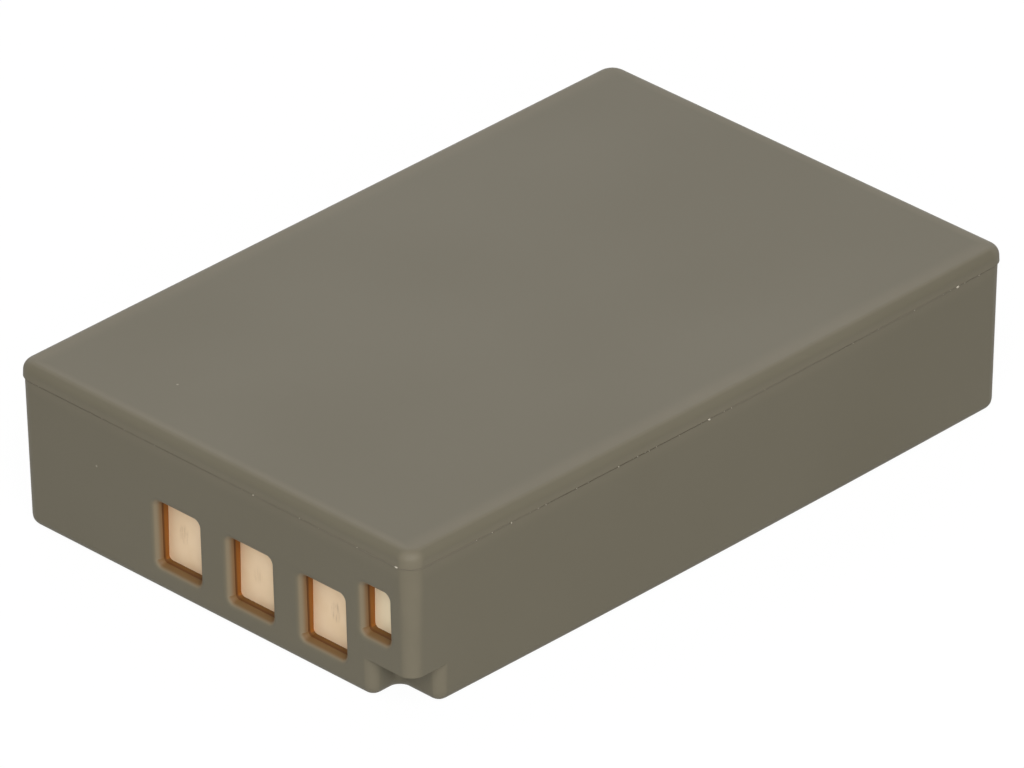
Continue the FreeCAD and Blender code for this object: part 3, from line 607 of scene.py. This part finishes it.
# %% Plate the contacts
gold_colour = tone(248, 222, 187)
gold_shade = tone(241, 213, 173)
narrow_gold = tone(255, 239, 205)
worn_gold = tone(176, 142, 104)
narrow_from_x = 12.4 * MM
press_radius = (0.25 * MM, 0.55 * MM)
press_tallness = 0.6
press_places = [(-3.95, 4.3, 0.5), (2.75, 4.1, 0.25), (9.8, 4.3, 0.8)]


def plated_gold():
    finish = Finish("plated_gold", Metallic=0.35, Specular_IOR_Level=0.3)
    place = finish.place()
    x, y, z = finish.axes(place)
    rolled = finish.noise(finish.stretched(place, 1, 1, 0.06), 0.05 * MM, detail=3.0)
    cloud = finish.noise(place, 1.6 * MM, detail=2.0)
    colour = finish.mix(cloud.rises(0.3, 0.75) * 0.6, gold_colour, gold_shade)
    # Painted light: the narrow window's contact is mixed paler to make up for the shade of its window.
    colour = finish.mix(x > narrow_from_x, colour, narrow_gold)
    scratch = finish.noise(finish.stretched(place, 1, 1, 0.12), 0.10 * MM, detail=2.0)
    pressed = []
    for across, high, strength in press_places:
        far = ((x - across * MM) ** 2 + ((z - high * MM) * press_tallness) ** 2) ** 0.5
        pressed.append((1 - far.rises(*press_radius)) * strength)
    mark = largest(pressed) * (0.25 + 0.75 * scratch.rises(0.50, 0.60))
    colour = finish.mix(mark * 0.5, colour, worn_gold)
    return finish.wear(
        Base_Color=colour,
        Roughness=0.50 + rolled * 0.10 + mark * 0.1,
        Normal=finish.relief(rolled, 0.001 * MM),
    )


dress(plated_gold(), *contact_names)

# %% [markdown]
# ## The protection board
# The board is glass-fibre laminate under a green varnish. Copper tracks lie below the varnish, paler and slightly
# raised, small tinned holes join its two sides, and the sawn edges show the tan laminate in layers.

# %% Varnish the board
track_pitch = 0.5 * MM
hole_pitch = 1.5 * MM
weave_pitch = 0.25 * MM
layer_thickness = 0.16 * MM


def varnished_board():
    finish = Finish("varnished_board", Specular_IOR_Level=0.5)
    place = finish.place()
    x, y, z = finish.axes(place)
    toward_x, toward_y, toward_z = finish.facing()
    broad = abs(toward_y) > 0.5
    weave = ((x / weave_pitch) % 1 - 0.5) * ((z / weave_pitch) % 1 - 0.5)
    lane = finish.node("ShaderNodeCombineXYZ", sockets={"X": x * 0.2, "Z": (z - z % track_pitch) * 3})["Vector"]
    track = ((z / track_pitch) % 1).within(0.25, 0.7) * (finish.noise(lane, 0.9 * MM, detail=0.0) > 0.48)
    varnish = finish.mix(track, tone(24, 78, 48), tone(38, 104, 62))
    varnish = finish.mix(abs(weave) * 0.5, varnish, tone(60, 120, 80))
    middle, chance = finish.cells(finish.stretched(place, 1, 0, 1), hole_pitch)
    hole = (middle < 0.13) * (chance < 0.5) * broad
    layers = ((y / layer_thickness) % 1).rises(0.35, 0.65)
    sawn = finish.mix(layers, tone(158, 142, 96), tone(132, 116, 74))
    colour = finish.mix(broad, sawn, varnish)
    colour = finish.mix(hole, colour, tone(196, 192, 182))
    return finish.wear(
        Base_Color=colour,
        Metallic=hole,
        Roughness=0.75 - broad * 0.42 + hole * 0.05,
        Normal=finish.relief(track * broad, 0.03 * MM),
    )


dress(varnished_board(), "protection_board")

# %% [markdown]
# ## Chips and small parts
# A chip is black epoxy, matt from its mould, with tinned leads that come out above and below it and a dimple that
# marks its first lead. The small resistors and capacitors are ceramic blocks with tin caps at both ends, where the
# solder holds them. One function mixes the finish of each, from the colours and the length of its tin.

# %% Mould the chips
tin = tone(204, 202, 196)
dimple_radius = (0.10 * MM, 0.14 * MM)


def moulded_chip(node, lead_length):
    low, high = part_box(node)
    finish = Finish(node + "_epoxy", Specular_IOR_Level=0.4)
    place = finish.place()
    x, y, z = finish.axes(place)
    lead = (z < low.z + lead_length).larger(z > high.z - lead_length)
    grit = finish.noise(place, 0.05 * MM, detail=2.0)
    epoxy = finish.mix(grit, tone(30, 30, 31), tone(46, 46, 47))
    from_dimple = ((x - low.x - 0.4 * MM) ** 2 + (z - high.z + lead_length + 0.3 * MM) ** 2) ** 0.5
    dimple = 1 - from_dimple.rises(*dimple_radius)
    return finish.wear(
        Base_Color=finish.mix(lead, finish.mix(dimple, epoxy, tone(24, 24, 25)), tin),
        Metallic=lead,
        Roughness=0.62 - lead * 0.3 + grit * 0.1,
        Normal=finish.relief(grit * 0.2 - dimple, 0.03 * MM),
    )


for name in ("protection_ic", "switch_mosfets"):
    dress(moulded_chip(name, 0.2 * MM), name)

# %% Fire the ceramic parts
def ceramic_part(node, body_colour, top_colour, cap_length, lies_across=False):
    low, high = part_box(node)
    finish = Finish(node + "_ceramic", Specular_IOR_Level=0.5)
    place = finish.place()
    x, y, z = finish.axes(place)
    toward_x, toward_y, toward_z = finish.facing()
    if lies_across:
        cap = (x < low.x + cap_length).larger(x > high.x - cap_length)
    else:
        cap = (z < low.z + cap_length).larger(z > high.z - cap_length)
    grit = finish.noise(place, 0.07 * MM, detail=2.0)
    body = finish.mix(toward_y < -0.5, body_colour, top_colour)
    body = finish.mix(grit * 0.3, body, tone(120, 110, 100))
    return finish.wear(
        Base_Color=finish.mix(cap, body, tin),
        Metallic=cap,
        Roughness=0.48 - cap * 0.12 + grit * 0.12,
        Normal=finish.relief(grit + cap, 0.02 * MM),
    )


dress(ceramic_part("board_resistors", tone(214, 210, 200), tone(34, 34, 36), 0.3 * MM), "board_resistors")
dress(ceramic_part("board_capacitors", tone(160, 126, 92), tone(168, 134, 98), 0.35 * MM), "board_capacitors")
dress(ceramic_part("thermistor", tone(58, 62, 54), tone(66, 70, 60), 0.4 * MM, lies_across=True), "thermistor")

# %% [markdown]
# ## The cells
# A flat cell's can is drawn from aluminium sheet, so fine lines run along it from the press. Its cap is welded in
# by laser, a bead of small overlapping ripples round the rim, and the filling hole is closed by a little plug that
# is welded the same way.

# %% Draw the cans
cap_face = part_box("lower_cell_can")[0].y
rim_weld = (cap_face + 0.15 * MM, cap_face + 0.60 * MM)
rim_ripple = 0.22 * MM
plug_ripple = 0.16 * MM
plug_weld_radius = 0.45 * MM


def drawn_aluminium(name, middle_x=None, middle_z=None):
    """A can's metal with the weld round its cap, or a plug's with the weld round the plug's middle."""
    finish = Finish(name, Metallic=1.0)
    place = finish.place()
    x, y, z = finish.axes(place)
    drawn = finish.noise(finish.stretched(place, 1, 0.02, 1), 0.09 * MM, detail=3.0)
    cloud = finish.noise(place, 6 * MM, detail=2.0)
    if middle_x is None:
        ripple = ((x + z) / rim_ripple) % 1
        weld = y.within(*rim_weld)
    else:
        far = ((x - middle_x) ** 2 + (z - middle_z) ** 2) ** 0.5
        ripple = (far / plug_ripple) % 1
        weld = far > plug_weld_radius
    colour = finish.mix(cloud, tone(214, 215, 217), tone(196, 197, 200))
    colour = finish.mix(weld * ripple * 0.5, colour, tone(160, 161, 164))
    return finish.wear(
        Base_Color=colour,
        Roughness=0.30 + drawn * 0.15 + weld * 0.08,
        Normal=finish.relief(drawn * 0.2 + weld * ripple, 0.012 * MM),
    )


dress(drawn_aluminium("drawn_aluminium"), "lower_cell_can", "upper_cell_can")
for level in ("lower", "upper"):
    low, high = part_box(level + "_cell_plug")
    plug_metal = drawn_aluminium(level + "_plug_aluminium", (low.x + high.x) / 2, (low.z + high.z) / 2)
    dress(plug_metal, level + "_cell_plug")

# %% [markdown]
# ## Nickel strips
# Strips of nickel carry the current, because nickel welds well to aluminium and solders well to the board. A
# resistance welder leaves a pair of round dents where its two tips pressed. The fuse lies in the same lead: its
# middle is wrapped in amber film, and its two ends are bare nickel.

# %% Roll the nickel
tip_spread = 0.4 * MM
dent_radius = (0.12 * MM, 0.24 * MM)


def nickel(name, welds, wrapped=None):
    """Nickel with a pair of weld dents at each place, given as x and z in mm."""
    finish = Finish(name, Metallic=1.0)
    place = finish.place()
    x, y, z = finish.axes(place)
    rolled = finish.noise(finish.stretched(place, 0.04, 1, 1), 0.05 * MM, detail=3.0)
    cloud = finish.noise(place, 2.5 * MM, detail=2.0)
    dents = []
    for middle_x, middle_z in welds:
        far = ((abs(x - middle_x * MM) - tip_spread) ** 2 + (z - middle_z * MM) ** 2) ** 0.5
        dents.append(1 - far.rises(*dent_radius))
    dent = largest(dents)
    colour = finish.mix(cloud, tone(206, 201, 190), tone(186, 180, 168))
    colour = finish.mix(dent * 0.7, colour, tone(146, 138, 124))
    metal = {}
    if wrapped:
        low_x, high_x, front = wrapped
        film = x.within(low_x * MM, high_x * MM) * (y > front * MM)
        colour = finish.mix(film, colour, finish.mix(cloud, tone(196, 148, 62), tone(176, 126, 44)))
        metal["Metallic"] = 1 - film
    return finish.wear(
        Base_Color=colour,
        Roughness=0.30 + rolled * 0.14 + dent * 0.15,
        Normal=finish.relief(rolled * 0.1 - dent, 0.04 * MM),
        **metal,
    )


lower_middle, upper_middle = 3.5, 8.55
fuse_low, fuse_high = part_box("thermal_fuse")
fuse_film = (fuse_low.x / MM + 1.1, fuse_high.x / MM - 1.7, cap_face / MM - 1.04)
terminals = nickel("terminal_nickel", [(0, lower_middle), (0, upper_middle)])
dress(terminals, "lower_cell_terminal", "upper_cell_terminal")
dress(nickel("link_nickel", [(6.0, lower_middle), (0, upper_middle)]), "series_link")
dress(nickel("negative_nickel", [(0, lower_middle), (-12.7, lower_middle)]), "negative_tab")
dress(nickel("midpoint_nickel", [(2.6, upper_middle)]), "midpoint_tab")
dress(nickel("positive_nickel", [(-13.4, upper_middle), (-11.2, upper_middle)]), "positive_tab")
dress(nickel("fuse_nickel", [(-5.3, upper_middle)], fuse_film), "thermal_fuse")

# %% [markdown]
# ## Gaskets, cards and foam
# The terminal stands in a milky plastic gasket. A card of grey fish paper, made from pressed cotton fibres, keeps
# the strips off the cap. Soft foam fills what is left, so that nothing rattles, and a white tape sticks the cells
# together. Foam shows its closed cells, paper its fibres.

# %% Make the soft finishes
def gasket_plastic():
    finish = Finish("gasket_plastic", Specular_IOR_Level=0.5)
    place = finish.place()
    milky = finish.noise(place, 0.8 * MM, detail=2.0)
    return finish.wear(
        Base_Color=finish.mix(milky, tone(206, 212, 216), tone(188, 196, 204)),
        Roughness=0.36 + milky * 0.12,
        Normal=finish.relief(milky, 0.01 * MM),
    )


def fish_paper():
    finish = Finish("fish_paper", Specular_IOR_Level=0.2)
    place = finish.place()
    one_way = finish.noise(finish.stretched(place, 0.12, 1, 1), 0.07 * MM, detail=3.0)
    other_way = finish.noise(finish.stretched(place, 1, 1, 0.12), 0.07 * MM, detail=3.0)
    fibre = one_way.larger(other_way)
    cloud = finish.noise(place, 3 * MM, detail=2.0)
    colour = finish.mix(fibre.rises(0.45, 0.7), tone(150, 152, 146), tone(180, 181, 174))
    return finish.wear(
        Base_Color=finish.mix(cloud * 0.4, colour, tone(138, 141, 136)),
        Roughness=0.80 + fibre * 0.12,
        Normal=finish.relief(fibre, 0.02 * MM),
    )


def closed_foam():
    finish = Finish("closed_foam", Specular_IOR_Level=0.2)
    place = finish.place()
    middle, chance = finish.cells(place, 0.28 * MM)
    colour = finish.mix(middle.rises(0.2, 0.6), tone(62, 62, 64), tone(92, 92, 94))
    return finish.wear(
        Base_Color=finish.mix(chance * 0.3, colour, tone(74, 74, 78)),
        Roughness=0.78 + middle * 0.15,
        Normal=finish.relief(middle, 0.05 * MM),
    )


def white_tape():
    finish = Finish("white_tape", Specular_IOR_Level=0.3)
    place = finish.place()
    weave = finish.noise(finish.stretched(place, 1, 0.1, 1), 0.12 * MM, detail=2.0)
    cloud = finish.noise(place, 4 * MM, detail=2.0)
    colour = finish.mix(weave, tone(226, 222, 208), tone(204, 198, 180))
    return finish.wear(
        Base_Color=finish.mix(cloud * 0.4, colour, tone(214, 204, 172)),
        Roughness=0.5 + weave * 0.2,
        Normal=finish.relief(weave, 0.01 * MM),
    )


dress(gasket_plastic(), "lower_cell_gasket", "upper_cell_gasket")
dress(fish_paper(), "lower_cell_insulator", "upper_cell_insulator")
dress(closed_foam(), "base_pad", "cover_pad", "end_foam")
dress(white_tape(), "cell_tape")

# %% [markdown]
# ## What the seam leaves
# Cover and case are joined by ultrasonic welding. A thin bead of molten plastic comes up in the groove under the
# cover's edge, thicker in some places than in others, and here and there a crumb of it stands out as a pale fleck.
# Both follow the case's rim. A ring drawn by hand would have to be drawn again for each new case. Geometry Nodes
# take the shell's own edge below the seam as their path, so a change to the case changes the bead with it.

# %% Geometry Nodes in sentences
class Recipe(Tree):
    """A Geometry Nodes tree that starts from a mesh, with named inputs."""

    def __init__(self, name, **inputs):
        group = bpy.data.node_groups.new(name, "GeometryNodeTree")
        super().__init__(group)
        face = group.interface
        face.new_socket("Mesh", in_out="INPUT", socket_type="NodeSocketGeometry")
        kinds = {float: "NodeSocketFloat", int: "NodeSocketInt", bpy.types.Material: "NodeSocketMaterial"}
        self.values = {}
        for key, value in inputs.items():
            made = face.new_socket(key.replace("_", " "), in_out="INPUT", socket_type=kinds[type(value)])
            self.values[made.identifier] = value
        face.new_socket("Mesh", in_out="OUTPUT", socket_type="NodeSocketGeometry")
        given = group.nodes.new("NodeGroupInput")
        self.given = {found.name: Wire(self, found) for found in given.outputs if found.name}
        self.result = group.nodes.new("NodeGroupOutput")

    def position(self):
        return self.node("GeometryNodeInputPosition")["Position"]

    def random(self, seed, low=0.0, high=1.0):
        """A random number for each point, the same in each run."""
        sockets = {"Min_001": low, "Max_001": high, "Seed": seed}
        return self.node("FunctionNodeRandomValue", {"data_type": "FLOAT"}, sockets)["Value_001"]

    def rim_path(self):
        """The edge loop of the shell at the given height, as a curve of even steps."""
        x, y, z = self.axes(self.position())
        at_height = abs(z - self.given["Height"]) < self.given["Reach"]
        loop = self.node("GeometryNodeMeshToCurve", sockets={"Mesh": self.given["Mesh"], "Selection": at_height})
        sockets = {"Curve": loop["Curve"], "Length": self.given["Step"]}
        return self.node("GeometryNodeResampleCurve", {"mode": "LENGTH"}, sockets)["Curve"]

    def vector(self, x, y, z):
        return self.node("ShaderNodeCombineXYZ", sockets={"X": x, "Y": y, "Z": z})["Vector"]

    def moved(self, shape, x, y, z):
        sockets = {"Geometry": shape, "Offset": self.vector(x, y, z)}
        return self.node("GeometryNodeSetPosition", sockets=sockets)["Geometry"]

    def serve(self, shape, mesh, name):
        """Ends the tree, runs it on a copy of the mesh, and returns the plain piece."""
        whole = self.node("GeometryNodeRealizeInstances", sockets={"Geometry": shape})["Geometry"]
        smooth = self.node("GeometryNodeSetShadeSmooth", sockets={"Geometry": whole})["Geometry"]
        sockets = {"Geometry": smooth, "Material": self.given["Material"]}
        dressed = self.node("GeometryNodeSetMaterial", sockets=sockets)["Geometry"]
        self.set(self.result, {"Mesh": dressed})
        piece = bpy.data.objects.new(name, mesh.copy())
        scene.collection.objects.link(piece)
        grow = piece.modifiers.new("grow", "NODES")
        grow.node_group = self.tree
        for identifier, value in self.values.items():
            grow[identifier] = value
        settled(piece)
        print(name, "has", len(piece.data.polygons), "faces")
        return piece


# %% The plastic that was molten
def weld_plastic(name, low_colour, high_colour):
    finish = Finish(name, Specular_IOR_Level=0.4)
    place = finish.place()
    run = finish.noise(place, 0.5 * MM, detail=2.0)
    return finish.wear(
        Base_Color=finish.mix(run, low_colour, high_colour),
        Roughness=0.34 + run * 0.2,
        Normal=finish.relief(run, 0.01 * MM),
    )


bead_plastic = weld_plastic("bead_plastic", tone(112, 103, 86), tone(124, 115, 97))
fleck_plastic = weld_plastic("fleck_plastic", tone(196, 187, 168), tone(224, 216, 198))
rim_chamfer = 0.12 * MM

# %% [markdown]
# ## The bead
# The molten plastic is a thin tube along the groove. Its thickness comes from two layers of noise, a slow one for
# the welder's pressure and a quick one for the drops, so that it never repeats. It is thickest near the front
# corner, and a stretch of the long side stayed nearly open.

# %% Run the bead round the groove
corner_from = (30 * MM, 44 * MM)
open_middle_y = -9 * MM
open_half_length = (4 * MM, 9 * MM)
long_side_x = 15 * MM


def weld_bead():
    recipe = Recipe(
        "weld_bead", Height=seam_height - rim_chamfer, Reach=0.01 * MM, Step=0.2 * MM,
        Rise=0.055 * MM, Thinnest=0.012 * MM, Thickest=0.068 * MM, Material=bead_plastic,
    )
    path = recipe.moved(recipe.rim_path(), 0.0, 0.0, recipe.given["Rise"])
    place = recipe.position()
    x, y, z = recipe.axes(place)
    slow = recipe.noise(place, 9 * MM, detail=1.0)
    quick = recipe.noise(place, 0.9 * MM, detail=2.0)
    toward_corner = (x - y).rises(*corner_from)
    open_stretch = (1 - abs(y - open_middle_y).rises(*open_half_length)) * (x > long_side_x)
    full = (slow.rises(0.35, 0.65) * 0.4 + quick * 0.3).larger(toward_corner * 0.9) * (1 - open_stretch)
    thick = recipe.given["Thinnest"] + full * (recipe.given["Thickest"] - recipe.given["Thinnest"])
    ring = recipe.node("GeometryNodeCurvePrimitiveCircle", {"mode": "RADIUS"}, {"Resolution": 8, "Radius": 1.0})
    sockets = {"Curve": path, "Profile Curve": ring["Curve"], "Scale": thick}
    bead = recipe.node("GeometryNodeCurveToMesh", sockets=sockets)["Mesh"]
    return recipe.serve(bead, case_shell.data, "weld_bead")


bead = weld_bead()
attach(bead, "root")

# %% [markdown]
# ## The flecks
# Crumbs of the weld are pale, because torn plastic scatters the light. Points along the rim are tried at random, and
# about one in six holds a crumb, most of them tiny. Three larger ones sit where the photograph shows them. Each is
# turned its own way, and its outer points are pressed back to the cover's box, as a thumb would break them off.

# %% Scatter the flecks
crumb_places = [(16.57, -27.5), (18.1, -0.75), (17.95, 22.85)]
crumb_reach = 0.20 * MM
crumb_growth = 2.2
crumb_chance = 0.16
crumb_shift = 0.03 * MM
outward = 0.0015
any_way = (6.28, 6.28, 6.28)


def seam_flecks():
    recipe = Recipe(
        "seam_flecks", Height=seam_height - rim_chamfer, Reach=0.01 * MM, Step=0.5 * MM,
        Count=520, Seed=7, Rise=0.04 * MM, Largest=0.045 * MM, Material=fleck_plastic,
    )
    sockets = {"Curve": recipe.rim_path(), "Count": recipe.given["Count"]}
    points = recipe.node("GeometryNodeCurveToPoints", {"mode": "COUNT"}, sockets)["Points"]
    seed = recipe.given["Seed"]
    chance = recipe.random(seed)
    shift = recipe.random(seed + 1, -crumb_shift, crumb_shift)
    x, y, z = recipe.axes(recipe.position())
    points = recipe.moved(points, x * outward, y * outward, recipe.given["Rise"] + shift)
    named = largest(
        ((x - across * MM) ** 2 + (y - along * MM) ** 2) ** 0.5 < crumb_reach for across, along in crumb_places
    )
    grade = recipe.random(seed + 2)
    size = recipe.given["Largest"] * (0.3 + 0.7 * grade ** 3).larger(named * crumb_growth)
    sockets = {"Max": any_way, "Seed": seed + 3}
    turn = recipe.node("FunctionNodeRandomValue", {"data_type": "FLOAT_VECTOR"}, sockets)["Value"]
    crumb = recipe.node("GeometryNodeMeshIcoSphere", sockets={"Radius": 1.0, "Subdivisions": 2})["Mesh"]
    flecks = recipe.node("GeometryNodeInstanceOnPoints", sockets={
        "Points": points,
        "Selection": (chance < crumb_chance).larger(named),
        "Instance": crumb,
        "Rotation": turn,
        "Scale": recipe.vector(size, size * 0.7, size * (1 + grade)),
    })["Instances"]
    flecks = recipe.node("GeometryNodeRealizeInstances", sockets={"Geometry": flecks})["Geometry"]
    x, y, z = recipe.axes(recipe.position())
    kept_x = x.larger(cover_low.x).smaller(cover_high.x)
    kept_y = y.larger(cover_low.y).smaller(cover_high.y)
    sockets = {"Geometry": flecks, "Position": recipe.vector(kept_x, kept_y, z)}
    flecks = recipe.node("GeometryNodeSetPosition", sockets=sockets)["Geometry"]
    return recipe.serve(flecks, case_shell.data, "seam_flecks")


flecks = seam_flecks()
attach(flecks, "root")
